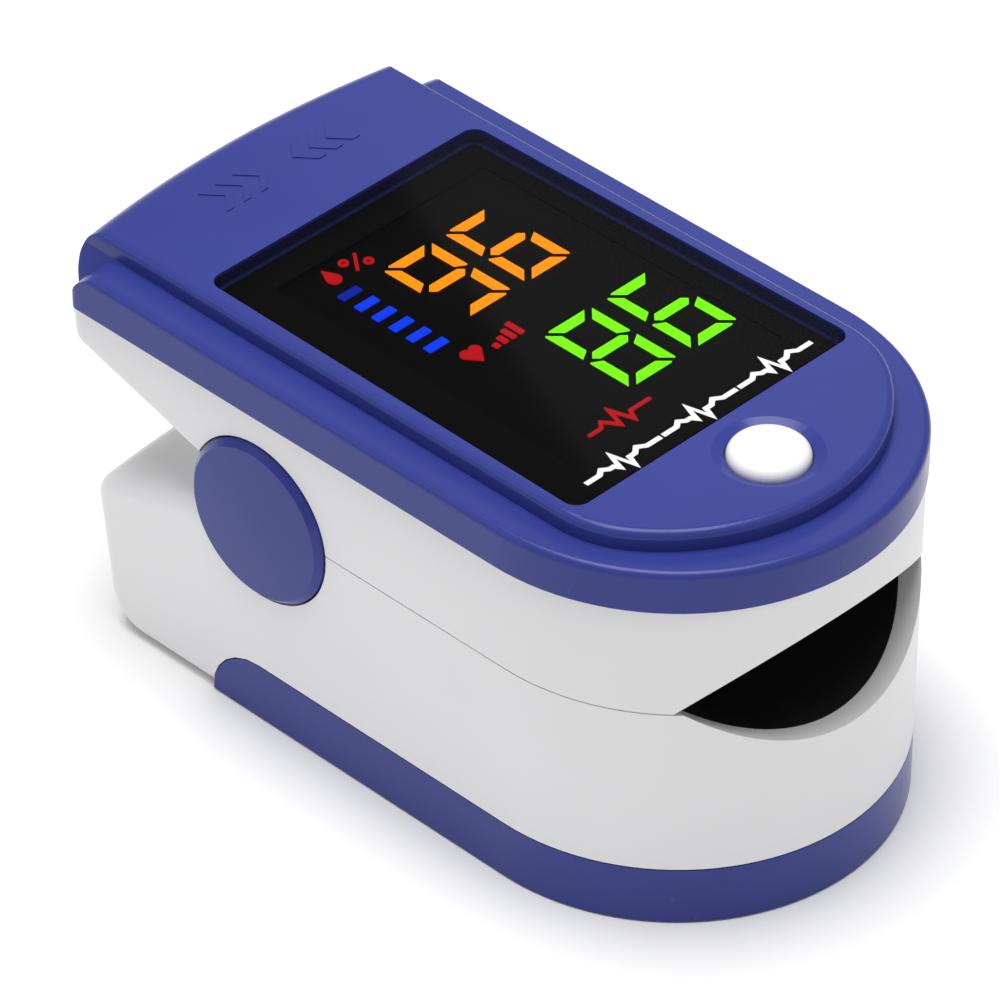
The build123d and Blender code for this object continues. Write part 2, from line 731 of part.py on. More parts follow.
rail_inner = 12.6

with BuildPart() as lower_lip:
    add(plan_slab(0.3, cover_height + 1, seam_height - seam_gap / 2, tray_end))
    add(plan_slab(lip_width, 0, far / 2, tray_end + far / 6), mode=Mode.SUBTRACT)
    add(band(mouth_trough_radius, mouth_trough_radius + 2.1, trough_center_z, shell_nose, tray_end),
        mode=Mode.INTERSECT)
with BuildPart() as battery_rails:
    # grooves for the cover's tongues, open towards the nose
    for side in (-1, 1):
        with Locations((side * (rail_inner + shell_half_width - 0.5) / 2, -2.0, cover_height + 0.7)):
            Box(shell_half_width - 0.5 - rail_inner, 30.0, 1.0)
with BuildPart() as bulkhead:
    # wall in front of the cells that holds the front contacts
    with Locations((0, -24.0, cover_height + 0.2)):
        Box(22.4, 1.0, 11.1 - cover_height, align=(Align.CENTER, Align.CENTER, Align.MIN))
    with Locations((0, -24.0, cover_floor + 0.3)):
        Box(18.0, 1.0, cover_height, align=(Align.CENTER, Align.CENTER, Align.MIN))
with BuildPart() as tray_rests:
    # blocks on the side walls that carry the finger tray
    with Locations((0, 0, 14.4)):
        with GridLocations(27.4, 11.0, 2, 2):
            Box(3.2, 2.4, 1.8)

with BuildPart() as lower_housing:
    add(lower_outer)
    add(lower_inner, mode=Mode.SUBTRACT)
    add(lower_lip.part)
    add(battery_rails.part)
    add(bulkhead.part)
    add(tray_rests.part)
    # rear wall rib behind the cells
    with Locations((0, 25.0, 7.7)):
        Box(21.4, 0.9, 8.2)
    with BuildSketch(Plane.XZ.offset(-tray_end)):
        with Locations((0, trough_center_z)):
            Circle(mouth_trough_radius)
    extrude(amount=far, mode=Mode.SUBTRACT)
    add(side_disc(shroud_inner, -0.1, cap_inner_x - 0.1), mode=Mode.SUBTRACT)
    add(side_disc(cap_radius + clearance, cap_inner_x - 0.1, rim_half_width), mode=Mode.SUBTRACT)
    # slot for the flexible cable
    with Locations((0, 16.8, 14.4)):
        Box(5.2, 0.8, 3.0, mode=Mode.SUBTRACT)
    # hinge ears
    for side in (-1, 1):
        with BuildSketch(Plane.YZ.offset(side * 13.1)):
            with Locations(hinge_center):
                Circle(2.6)
            with Locations((hinge_y, hinge_z - 2.4)):
                Rectangle(4.4, 4.8)
            with Locations(hinge_center):
                Circle(axle_radius + running_gap, mode=Mode.SUBTRACT)
        extrude(amount=side * 1.5)
keep("lower_housing", lower_housing.part)

# ------------------------------------------------------------------ finger tray, pad, window and sensor
tray_inner_radius = mouth_trough_radius + pad_thickness + pad_gap
tray_outer_radius = tray_inner_radius + 0.9

with BuildPart() as finger_tray:
    add(band(tray_inner_radius, tray_outer_radius, trough_center_z, shell_nose, finger_stop_y))
    with Locations((0, finger_stop_y + 0.45, (seam_height + 12.4) / 2 - 0.1)):
        Box(2 * cap_inner_x, 0.9, seam_height - 12.4)
    add(plan_slab(tray_inset, 0, seam_height - 0.1, tray_end), mode=Mode.INTERSECT)
    with Locations((0, window_y, 12)):
        Cylinder(window_radius + 0.1, 6, mode=Mode.SUBTRACT)
keep("finger_tray", finger_tray.part)

with BuildPart() as lower_pad:
    add(band(mouth_trough_radius, mouth_trough_radius + pad_thickness, trough_center_z, shell_nose,
             finger_stop_y - 0.05))
    with BuildSketch(Plane.XZ.offset(-finger_stop_y + 0.05)):
        with Locations((0, trough_center_z)):
            Circle(mouth_trough_radius + pad_thickness)
    extrude(amount=1.1)
    add(plan_slab(lip_width + pad_gap, 0, seam_height - 0.1, finger_stop_y + 1), mode=Mode.INTERSECT)
    with Locations((0, window_y, 13)):
        Cylinder(window_radius + 0.1, 6, mode=Mode.SUBTRACT)
keep("lower_pad", lower_pad.part)

with BuildPart() as lower_window:
    with BuildSketch(Plane.XY.offset(11.95)):
        with Locations((0, window_y)):
            Circle(window_radius)
    extrude(amount=1.4)
    fillet(lower_window.edges().group_by(Axis.Z)[-1], 0.3)
keep("lower_window", lower_window.part)

with BuildPart() as photodiode:
    with BuildSketch(Plane.XY.offset(11.35)):
        with Locations((0, window_y)):
            Rectangle(2.4, 2.4)
    extrude(amount=0.5)
    chamfer(photodiode.edges().group_by(Axis.Z)[-1], 0.12)
keep("photodiode", photodiode.part)
with BuildPart() as sensor_board:
    with Locations((0, window_y + 0.5, 11.2)):
        Box(4.2, 9.0, 0.24)
keep("sensor_board", sensor_board.part)

# ------------------------------------------------------------------ cells and contacts
def cell(x, nose_y, direction):
    """AAA cell lying along Y; its nub points along direction and its tip is at nose_y."""
    with BuildPart() as can:
        with BuildSketch(Plane.XY):
            with BuildLine():
                Polyline((0, 0), (cell_nub_radius, 0), (cell_nub_radius, -cell_nub_length),
                         (cell_radius - 0.5, -cell_nub_length), (cell_radius, -cell_nub_length - 0.5),
                         (cell_radius, 0.4 - cell_length), (cell_radius - 0.4, -cell_length),
                         (0, -cell_length), close=True)
            make_face()
        revolve(axis=Axis.Y)
    turned = can.part if direction > 0 else Rot(0, 0, 180) * can.part
    return Part() + (Pos(x, nose_y, cell_z) * turned)


keep("battery_left", cell(-cell_x, -22.75, -1))
keep("battery_right", cell(cell_x, 23.6, 1))

plate_half = 3.6
contact_back_y = -23.45
spring_wire = 0.28


def contact_plate(center_x, half_width, near_y, far_y, height_half):
    """Sheet-metal contact plate standing across the cells' ends."""
    with BuildPart() as plate:
        with Locations((center_x, (near_y + far_y) / 2, cell_z)):
            Box(2 * half_width, far_y - near_y, 2 * height_half)
        fillet(plate.edges().filter_by(Axis.Y), 0.8)
    return plate.part


def cone_spring(x, base_y, direction, height):
    """Flat spiral spring against the flat end of a cell."""
    place = Plane(origin=(x, base_y, cell_z), x_dir=(1, 0, 0), z_dir=(0, direction, 0))
    return coil(place, 2.3, height / 2, height, spring_wire)


positive_contact = Part() + [
    contact_plate(-cell_x, plate_half, contact_back_y, contact_back_y + 0.25, plate_half),
    contact_plate(-cell_x, 1.5, contact_back_y + 0.2, -22.8, 1.5),
]
keep("contact_positive", positive_contact)
negative_contact = Part() + [
    contact_plate(cell_x, plate_half, contact_back_y, contact_back_y + 0.25, plate_half),
    cone_spring(cell_x, contact_back_y + 0.45, 1, 1.7),
]
keep("contact_negative", negative_contact)
rear_contact = Part() + [
    contact_plate(0, 10.0, 24.2, 24.5, plate_half),
    contact_plate(cell_x, 1.5, 23.65, 24.25, 1.5),
    cone_spring(-cell_x, 24.0, -1, 1.8),
]
keep("contact_bridge", rear_contact)

# ------------------------------------------------------------------ battery cover
cover_outer_view = [
    (-far / 2, 0),
    (-far / 2, cover_height),
    *reversed(side_arc((cover_end - cover_height, 0), cover_height, 0, 90, 8)),
]
with BuildPart() as battery_cover:
    add(shell_block(0, cover_outer_view, (0, 0, 0)))
    chamfer(battery_cover.edges().group_by(Axis.Z)[0], 0.12)
    add(plan_slab(cover_wall, cover_floor, cover_height + 1, cover_end - cover_height - 0.4),
        mode=Mode.SUBTRACT)
    # thumb grip: shallow cross grooves and an arrow towards the nose
    with BuildSketch(Plane.XY):
        with Locations((0, -13.0)):
            with GridLocations(1, 1.6, 1, 5):
                SlotOverall(13, 0.7)
        Polygon((0, -21.6), (2.6, -18.8), (0.9, -18.8), (0.9, -17.4), (-0.9, -17.4), (-0.9, -18.8),
                (-2.6, -18.8), align=None)
    extrude(amount=0.35, mode=Mode.SUBTRACT)
    # clearance round the cells
    with BuildSketch(Plane.XZ.offset(-cover_end - 1)):
        with Locations((-cell_x, cell_z), (cell_x, cell_z)):
            Circle(cell_radius + clearance)
    extrude(amount=cover_end + 24, mode=Mode.SUBTRACT)
    # hooks that ride on the rails inside the housing
    for side in (-1, 1):
        with BuildSketch(Plane.XZ.offset(-10.0)):
            with BuildLine():
                Polyline((side * 14.2, cover_floor), (side * 11.5, cover_floor), (side * 11.5, 6.8),
                         (side * 13.5, 6.8), (side * 13.5, 6.05), (side * 12.45, 6.05),
                         (side * 12.45, cover_height), (side * 14.2, cover_height), close=True)
            make_face()
        extrude(amount=3.6)
        with BuildSketch(Plane.XZ.offset(1.0)):
            with BuildLine():
                Polyline((side * 14.2, cover_floor), (side * 11.5, cover_floor), (side * 11.5, 6.8),
                         (side * 13.5, 6.8), (side * 13.5, 6.05), (side * 12.45, 6.05),
                         (side * 12.45, cover_height), (side * 14.2, cover_height), close=True)
            make_face()
        extrude(amount=3.6)
keep("battery_cover", battery_cover.part)

os.makedirs("parts", exist_ok=True)
for name, part in parts.items():
    export_step(part, f"parts/{name}.step")
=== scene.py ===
"""Fingertip pulse oximeter: looks, materials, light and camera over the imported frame."""
import json
from math import ceil, cos, pi, radians, sin

import bmesh
import bpy
from mathutils import Matrix, Vector


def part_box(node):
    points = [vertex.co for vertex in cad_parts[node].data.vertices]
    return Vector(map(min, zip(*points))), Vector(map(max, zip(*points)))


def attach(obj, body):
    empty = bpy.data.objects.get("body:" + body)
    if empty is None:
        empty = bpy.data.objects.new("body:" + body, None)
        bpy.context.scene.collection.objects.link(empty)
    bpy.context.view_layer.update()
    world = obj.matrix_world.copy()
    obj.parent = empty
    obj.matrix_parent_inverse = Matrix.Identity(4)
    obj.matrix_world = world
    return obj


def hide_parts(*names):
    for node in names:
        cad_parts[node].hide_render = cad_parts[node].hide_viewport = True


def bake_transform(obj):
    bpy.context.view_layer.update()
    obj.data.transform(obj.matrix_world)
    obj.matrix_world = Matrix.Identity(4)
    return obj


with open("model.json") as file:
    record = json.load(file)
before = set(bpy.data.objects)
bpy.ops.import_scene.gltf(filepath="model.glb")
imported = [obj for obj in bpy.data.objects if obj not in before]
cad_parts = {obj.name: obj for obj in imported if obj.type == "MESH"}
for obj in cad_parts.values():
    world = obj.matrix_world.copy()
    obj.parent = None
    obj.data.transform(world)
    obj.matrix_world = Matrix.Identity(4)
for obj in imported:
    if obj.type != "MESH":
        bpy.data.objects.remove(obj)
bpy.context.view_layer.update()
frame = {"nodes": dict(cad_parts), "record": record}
nodes = frame["nodes"]
scene = bpy.context.scene
MM = 0.001

lens_low, lens_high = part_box("display_lens")
lens_top = lens_high[2]

# ------------------------------------------------------------------ material helpers
NOISE_LOW, NOISE_HIGH = 0.3, 0.7    # the range that a noise texture mostly stays in
SHADE_SCALE = 70                    # slow changes of shade, per metre
GLOSS_SCALE = 420                   # smudges in the gloss, per metre
GRAIN_DEPTH = 0.00002               # fine surface grain, in metres
BLACK = (0.0, 0.0, 0.0)


class Shader:
    """A principled material whose nodes are added one after another."""

    def __init__(self, name):
        self.material = bpy.data.materials.new(name)
        self.material.use_nodes = True
        self.tree = self.material.node_tree
        self.tree.nodes.clear()
        out = self.tree.nodes.new("ShaderNodeOutputMaterial")
        self.bsdf = self.tree.nodes.new("ShaderNodeBsdfPrincipled")
        self.link(self.bsdf.outputs[0], out.inputs[0])
        self.coords = self.node("ShaderNodeTexCoord").outputs["Object"]

    def node(self, kind, **settings):
        made = self.tree.nodes.new(kind)
        for key, value in settings.items():
            setattr(made, key, value)
        return made

    def link(self, source, socket):
        self.tree.links.new(source, socket)

    def feed(self, socket_name, source):
        """Drive one socket of the shader."""
        self.link(source, self.bsdf.inputs[socket_name])

    def set(self, **values):
        """Set sockets of the shader to plain values."""
        for key, value in values.items():
            self.bsdf.inputs[key.replace("_", " ")].default_value = value

    def stretched(self, factors):
        """Object coordinates times a factor along each axis."""
        made = self.node("ShaderNodeMapping")
        made.inputs["Scale"].default_value = factors
        self.link(self.coords, made.inputs["Vector"])
        return made.outputs[0]

    def along_y(self):
        """The object's own Y coordinate, in metres."""
        made = self.node("ShaderNodeSeparateXYZ")
        self.link(self.coords, made.inputs[0])
        return made.outputs[1]

    def noise(self, scale, detail=3.0, rough=0.5, vector=None):
        made = self.node("ShaderNodeTexNoise")
        made.inputs["Scale"].default_value = scale
        made.inputs["Detail"].default_value = detail
        made.inputs["Roughness"].default_value = rough
        self.link(vector or self.coords, made.inputs["Vector"])
        return made.outputs["Fac"]

    def ramp(self, value, stops):
        """Colour ramp with (place, colour) stops."""
        made = self.node("ShaderNodeValToRGB")
        elements = made.color_ramp.elements
        while len(elements) < len(stops):
            elements.new(0.5)
        for element, (place, colour) in zip(elements, stops):
            element.position = place
            element.color = (*colour, 1.0)
        self.link(value, made.inputs["Fac"])
        return made.outputs["Color"]

    def shaded(self, noise, dark, pale):
        """Colour that wanders between dark and pale with a noise value."""
        return self.ramp(noise, [(NOISE_LOW, dark), (NOISE_HIGH, pale)])

    def between(self, value, low, high, out_low=0.0, out_high=1.0):
        """Value mapped from one range to another."""
        made = self.node("ShaderNodeMapRange")
        for key, number in (("From Min", low), ("From Max", high), ("To Min", out_low), ("To Max", out_high)):
            made.inputs[key].default_value = number
        self.link(value, made.inputs["Value"])
        return made.outputs["Result"]

    def varied(self, noise, centre, swing):
        """Number that swings either side of its centre with a noise value."""
        return self.between(noise, NOISE_LOW, NOISE_HIGH, centre - swing, centre + swing)

    def math(self, kind, a, b):
        made = self.node("ShaderNodeMath", operation=kind)
        for place, value in ((0, a), (1, b)):
            if isinstance(value, (int, float)):
                made.inputs[place].default_value = value
            else:
                self.link(value, made.inputs[place])
        return made.outputs[0]

    def mix(self, fac, a, b):
        made = self.node("ShaderNodeMix", data_type="RGBA")
        for place, value in (("Factor", fac), ("A", a), ("B", b)):
            socket = [s for s in made.inputs if s.name == place and s.enabled][0]
            if isinstance(value, tuple):
                socket.default_value = (*value, 1.0)
            else:
                self.link(value, socket)
        return [s for s in made.outputs if s.enabled][0]

    def bump(self, height, strength, distance):
        made = self.node("ShaderNodeBump")
        made.inputs["Strength"].default_value = strength
        made.inputs["Distance"].default_value = distance
        self.link(height, made.inputs["Height"])
        self.feed("Normal", made.outputs[0])

    def pointiness(self):
        return self.node("ShaderNodeNewGeometry").outputs["Pointiness"]


def moulded(name, colour, rough, spread=0.06, edge=0.0, grain=9000, bump=0.05, coat=0.0, specular=0.5):
    """Moulded plastic: slow shade variation, paler worn edges, fine spark-eroded grain."""
    made = Shader(name)
    dark = tuple(c * (1 - spread) for c in colour)
    pale = tuple(min(1.0, c * (1 + spread)) for c in colour)
    base = made.shaded(made.noise(SHADE_SCALE, 2.0), dark, pale)
    if edge:
        worn = made.between(made.pointiness(), 0.53, 0.60, 0.0, edge)
        base = made.mix(worn, base, tuple(min(1.0, c * 1.25 + 0.03) for c in colour))
    made.feed("Base Color", base)
    made.feed("Roughness", made.varied(made.noise(GLOSS_SCALE, 4.0), rough, 0.035))
    made.bump(made.noise(grain, 2.0, 0.6), bump, GRAIN_DEPTH)
    made.set(Specular_IOR_Level=specular)
    if coat:
        made.set(Coat_Weight=coat, Coat_Roughness=0.12)
    return made.material


def metal(name, colour, rough, along):
    """Drawn or plated metal with fine lines along one axis."""
    made = Shader(name)
    stretch = tuple(40 if axis == along else 1600 for axis in "xyz")
    lines = made.noise(1.0, 3.0, 0.55, made.stretched(stretch))
    made.feed("Base Color", made.shaded(lines, tuple(c * 0.82 for c in colour), colour))
    made.feed("Roughness", made.varied(lines, rough, 0.06))
    made.bump(lines, 0.08, GRAIN_DEPTH)
    made.set(Metallic=1.0)
    return made.material


def glow(name, colour, strength, dim_from=None):
    """Lit light guide with a fine diffuser grain, dimmer past dim_from along Y where that is given."""
    made = Shader(name)
    level = made.between(made.noise(2600, 2.0), 0.25, 0.75, 0.90, 1.06)
    tint = made.mix(level, BLACK, colour)
    if dim_from:
        fade = made.between(made.along_y(), dim_from, dim_from + 0.0001, 1.0, 0.35)
        tint = made.mix(fade, BLACK, tint)
    made.feed("Emission Color", tint)
    made.set(Base_Color=(*[c * 0.25 for c in colour], 1.0), Emission_Strength=strength, Roughness=0.5)
    return made.material


def smoked_lens():
    """Dark window with faint smears in its gloss."""
    made = Shader("smoked_lens")
    smear = made.noise(55, 4.0, 0.6)
    made.feed("Roughness", made.between(smear, 0.35, 0.7, 0.035, 0.07))
    made.feed("Base Color", made.shaded(smear, (0.0015, 0.0015, 0.0018), (0.0022, 0.0022, 0.0026)))
    made.set(Specular_IOR_Level=0.10, Alpha=0.4)
    return made.material


def clear_window():
    """Clear plastic over the emitter and the sensor."""
    made = Shader("clear_window")
    made.feed("Base Color", made.shaded(made.noise(400, 3.0), (0.80, 0.78, 0.80), (0.95, 0.93, 0.95)))
    made.feed("Roughness", made.varied(made.noise(900, 3.0), 0.12, 0.04))
    made.set(Transmission_Weight=0.85, IOR=1.49)
    return made.material


def solder_mask():
    """Green solder mask over a net of copper tracks."""
    made = Shader("solder_mask")
    cells = made.node("ShaderNodeTexVoronoi", feature="DISTANCE_TO_EDGE")
    cells.inputs["Scale"].default_value = 620
    made.link(made.coords, cells.inputs["Vector"])
    track = made.between(cells.outputs["Distance"], 0.03, 0.06, 1.0, 0.0)
    mask = made.shaded(made.noise(240, 3.0), (0.006, 0.085, 0.030), (0.010, 0.125, 0.045))
    made.feed("Base Color", made.mix(track, mask, (0.020, 0.20, 0.07)))
    made.bump(track, 0.35, 0.00003)
    made.set(Roughness=0.28)
    return made.material


def cell_sleeve(side, nub_y, direction):
    """Printed sleeve with a coloured band, and bare steel ends, counted along the cell from its nub."""
    cell_length = 0.0445
    steel_end = (0.70, 0.70, 0.72)
    band = (0.78, 0.22, 0.03)
    ring = (0.75, 0.75, 0.76)
    sleeve_black = (0.02, 0.02, 0.022)
    made = Shader("cell_sleeve_" + side)
    from_nub = made.math("SUBTRACT", made.along_y(), nub_y)
    along = made.math("MULTIPLY", from_nub, direction / cell_length)
    sleeve = made.ramp(along, [(0.0, steel_end), (0.034, steel_end), (0.036, band), (0.34, band),
                               (0.345, ring), (0.36, sleeve_black), (0.985, sleeve_black), (0.99, steel_end)])
    bare = made.math("ADD", made.math("LESS_THAN", along, 0.035), made.math("GREATER_THAN", along, 0.9875))
    grime = made.noise(300, 3.0)
    made.feed("Base Color", made.mix(made.between(grime, 0.4, 0.8, 0.0, 0.12), sleeve, (0.3, 0.3, 0.3)))
    made.feed("Metallic", bare)
    made.feed("Roughness", made.varied(grime, 0.28, 0.06))
    return made.material


# ------------------------------------------------------------------ materials of the carried-over solids
blue = moulded("blue_plastic", (0.034, 0.047, 0.258), 0.24, spread=0.05, bump=0.02, specular=0.26)
white = moulded("white_plastic", (0.83, 0.83, 0.84), 0.32, spread=0.012, bump=0.02)
button_white = moulded("button_plastic", (0.90, 0.885, 0.90), 0.26, spread=0.012, bump=0.03)
silicone = moulded("black_silicone", (0.010, 0.010, 0.012), 0.42, spread=0.2, edge=0.08, grain=5200,
                   bump=0.14, specular=0.4)
tray = moulded("tray_plastic", (0.16, 0.16, 0.17), 0.45, spread=0.08, edge=0.2)
package = moulded("component_black", (0.022, 0.022, 0.024), 0.5, spread=0.25, edge=0.3, grain=5200, bump=0.2)
socket_plastic = moulded("socket_plastic", (0.72, 0.68, 0.56), 0.45, spread=0.05, edge=0.1)
frame_black = moulded("display_frame", (0.0022, 0.0022, 0.0026), 0.5, spread=0.2, specular=0.05)
film = moulded("amber_film", (0.50, 0.20, 0.035), 0.22, spread=0.12, edge=0.1, coat=0.4)
ink = moulded("white_ink", (0.80, 0.80, 0.82), 0.45, spread=0.04, grain=6000, bump=0.2)

steel = metal("spring_steel", (0.66, 0.66, 0.68), 0.24, "x")
screw_steel = metal("screw_steel", (0.50, 0.50, 0.52), 0.32, "z")
nickel = metal("nickel_plate", (0.72, 0.69, 0.63), 0.27, "x")

last_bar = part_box("signal_bars")[1][1] - 0.001
orange = glow("orange_light", (1.0, 0.25, 0.0), 3.6)
green = glow("green_light", (0.19, 1.0, 0.0), 3.0)
blue_light = glow("blue_light", (0.0, 0.045, 0.95), 2.6, dim_from=last_bar)
red = glow("red_light", (0.85, 0.004, 0.010), 1.5)

for material, names in (
    (blue, ("top_cover", "battery_cover", "hinge_cap_left", "hinge_cap_right")),
    (white, ("upper_housing", "lower_housing")),
    (button_white, ("power_button",)),
    (silicone, ("upper_pad", "lower_pad")),
    (tray, ("finger_tray",)),
    (package, ("microcontroller", "boost_inductor", "photodiode", "switch_plunger")),
    (socket_plastic, ("flex_socket",)),
    (frame_black, ("display_module",)),
    (film, ("flex_cable",)),
    (steel, ("hinge_axle", "torsion_spring_left", "torsion_spring_right", "tact_switch")),
    (screw_steel, ("pcb_screws",)),
    (nickel, ("contact_positive", "contact_negative", "contact_bridge")),
    (orange, ("spo2_digits",)),
    (green, ("pulse_digits",)),
    (blue_light, ("signal_bars",)),
    (red, ("status_symbols",)),
    (smoked_lens(), ("display_lens",)),
    (clear_window(), ("upper_window", "lower_window", "emitter_led")),
    (solder_mask(), ("main_pcb", "sensor_board")),
    (cell_sleeve("left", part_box("battery_left")[0][1], 1), ("battery_left",)),
    (cell_sleeve("right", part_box("battery_right")[1][1], -1), ("battery_right",)),
):
    for name in names:
        nodes[name].data.materials.clear()
        nodes[name].data.materials.append(material)


# ------------------------------------------------------------------ smooth shading
SOLID_CREASE = 27    # degrees, on the carried-over solids
BENT_CREASE = 40     # degrees, on the pieces that bend


def smoothed(thing, crease_angle):
    """Smooth shading that breaks at edges sharper than crease_angle, in degrees."""
    for polygon in thing.data.polygons:
        polygon.use_smooth = True
    creases = thing.modifiers.new("creases", "EDGE_SPLIT")
    creases.split_angle = radians(crease_angle)
    creases.use_edge_sharp = False


for thing in nodes.values():
    smoothed(thing, SOLID_CREASE)
    normals = thing.modifiers.new("normals", "WEIGHTED_NORMAL")
    normals.weight = 100


# ------------------------------------------------------------------ mesh helpers
MITRE_LIMIT = 0.4    # keeps a strip's sharp corners from reaching far out


def strip_sides(points, width):
    """Left and right edge points of a flat strip of even width along points in a plane."""
    left, right = [], []
    for i, p in enumerate(points):
        here = Vector(p)
        into = (here - Vector(points[i - 1])).normalized() if i else None
        out = (Vector(points[i + 1]) - here).normalized() if i < len(points) - 1 else into
        into = into or out
        along = (into + out).normalized()
        half = Vector((-along.y, along.x)) * (width / 2 / max(MITRE_LIMIT, into.dot(along)))
        left.append(here + half)
        right.append(here - half)
    return left, right


def add_piece(bm, name, material):
    """Turn a bmesh into an object with one material."""
    bmesh.ops.recalc_face_normals(bm, faces=bm.faces)
    mesh = bpy.data.meshes.new(name)
    bm.to_mesh(mesh)
    bm.free()
    mesh.materials.append(material)
    thing = bpy.data.objects.new(name, mesh)
    scene.collection.objects.link(thing)
    return thing


# ------------------------------------------------------------------ printed marks on the lens
def print_piece(name, outlines, z, thickness, material, body, closed=False):
    """Thin printed layer between pairs of edge lines: lines in millimetres, z and thickness in metres."""
    bm = bmesh.new()
    for left, right in outlines:
        rings = [[bm.verts.new((p[0] * MM, p[1] * MM, height)) for p in side for height in (z, z + thickness)]
                 for side in zip(left, right)]
        pairs = zip(rings, rings[1:] + rings[:1] if closed else rings[1:])
        for (a0, a1, b0, b1), (c0, c1, d0, d1) in pairs:
            for quad in ((a1, b1, d1, c1), (a0, c0, d0, b0), (a0, a1, c1, c0), (b0, d0, d1, b1)):
                bm.faces.new(quad)
        if not closed:
            for a0, a1, b0, b1 in (rings[0], rings[-1]):
                bm.faces.new((a0, b0, b1, a1))
    thing = add_piece(bm, name, material)
    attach(thing, body)


# three pulse waves across the front of the lens
wave_y = -15.2
wave_starts = (-10.7, -3.5, 3.7)
wave_width = 0.40
wave_shape = [(0, 0), (1.3, 0), (1.75, 0.34), (2.2, 0), (2.6, 0), (2.85, -0.36), (3.3, 0.95), (3.75, -0.85),
              (4.05, 0), (4.6, 0), (5.1, 0.4), (5.7, 0), (7.0, 0)]
ink_thickness = 0.00002

waves = [strip_sides([(start + x, wave_y + y) for x, y in wave_shape], wave_width) for start in wave_starts]
print_piece("lens_print", waves, lens_top, ink_thickness, ink, "upper_half")

# black border printed on the lens's underside, open over the display
border_margin = 0.35
border_taper = 0.45
border_lift = 0.00005
border_thickness = 0.00003
opening_left, opening_front, opening_right, opening_rear = -9.1, -13.9, 10.7, 14.9

left_edge, front_edge = lens_low[0] / MM + border_margin, lens_low[1] / MM + border_margin
right_edge, rear_edge = lens_high[0] / MM - border_margin, lens_high[1] / MM - border_margin
outer = [(left_edge, front_edge), (right_edge, front_edge),
         (right_edge - border_taper, rear_edge), (left_edge + border_taper, rear_edge)]
inner = [(opening_left, opening_front), (opening_right, opening_front),
         (opening_right, opening_rear), (opening_left, opening_rear)]
print_piece("lens_border", [(outer, inner)], lens_low[2] + border_lift, border_thickness, frame_black,
            "upper_half", closed=True)

# ------------------------------------------------------------------ torsion springs across the hinge
hinge = [j for j in frame["record"]["behaviour"]["joints"] if j["name"] == "clip_hinge"][0]
hinge_y, hinge_z = (value / MM for value in hinge["pos_m"][1:])
coil_radius = 2.2
coil_pitch = 0.8
coil_start_x = 10.7
coil_step_angle = 12
wire_radius = 0.34
wire_sides = 14
leg_reach = 5.0
leg_spread = 63.9
lower_leg_angle = -9.0
upper_leg_angle = 15.0
sweep_angle = 4 * 360 + lower_leg_angle - upper_leg_angle - 2 * leg_spread


def polar(x, radius, angle):
    """Point round the hinge line, in millimetres."""
    return Vector((x, hinge_y + radius * cos(radians(angle)), hinge_z + radius * sin(radians(angle))))


def spring_path():
    """Centre line of the right-hand spring: lower leg, coil, upper leg."""
    steps = ceil(sweep_angle / coil_step_angle)
    start_angle = lower_leg_angle - leg_spread
    coil = [polar(coil_start_x - coil_pitch * sweep_angle / 360 * k / steps, coil_radius,
                  start_angle - sweep_angle * k / steps) for k in range(steps + 1)]
    lower_tip = polar(coil_start_x, leg_reach, lower_leg_angle)
    upper_tip = polar(coil[-1].x, leg_reach, upper_leg_angle)
    return [lower_tip, lower_tip.lerp(coil[0], 0.5), *coil, upper_tip.lerp(coil[-1], 0.5), upper_tip]


def tube(bm, centres, radius, sides):
    """Closed round tube along a list of centres in millimetres."""
    rings = []
    normal = None
    for i, centre in enumerate(centres):
        ahead = centres[min(i + 1, len(centres) - 1)] - centres[max(i - 1, 0)]
        along = ahead.normalized()
        if normal is None:
            normal = along.orthogonal().normalized()
        normal = (normal - along * normal.dot(along)).normalized()
        across = along.cross(normal)
        rings.append([bm.verts.new((centre + (normal * cos(turn) + across * sin(turn)) * radius) * MM)
                      for turn in (2 * pi * k / sides for k in range(sides))])
    for a, b in zip(rings, rings[1:]):
        for k in range(sides):
            bm.faces.new((a[k], a[(k + 1) % sides], b[(k + 1) % sides], b[k]))
    bm.faces.new(list(reversed(rings[0])))
    bm.faces.new(rings[-1])


for side, name in ((1, "torsion_spring_right"), (-1, "torsion_spring_left")):
    bm = bmesh.new()
    tube(bm, [Vector((side * p.x, p.y, p.z)) for p in spring_path()], wire_radius, wire_sides)
    spring = add_piece(bm, name + "_wire", steel)
    smoothed(spring, BENT_CREASE)
    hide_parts(name)
    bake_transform(spring)

# ------------------------------------------------------------------ flexible cable across the hinge
cable_route = [(13.9, 25.3), (15.0, 23.9), (17.2, 22.4), (17.2, 19.2), (17.9, 17.2), (16.8, 15.2),
               (16.8, 12.6), (15.2, 11.0), (5.0, 11.0), (-6.3, 11.0)]
cable_half_width = 2.2
film_half_thickness = 0.08
corner_reach = 0.5


def rounded(route, reach, steps=6):
    """Route of (y, z) points with each inner corner replaced by a short curve."""
    path = [Vector(route[0])]
    for before, corner, after in zip(route, route[1:], route[2:]):
        before, corner, after = Vector(before), Vector(corner), Vector(after)
        enter = corner + (before - corner).normalized() * reach
        leave = corner + (after - corner).normalized() * reach
        for k in range(steps + 1):
            t = k / steps
            path.append(enter.lerp(corner, t).lerp(corner.lerp(leave, t), t))
    path.append(Vector(route[-1]))
    return path


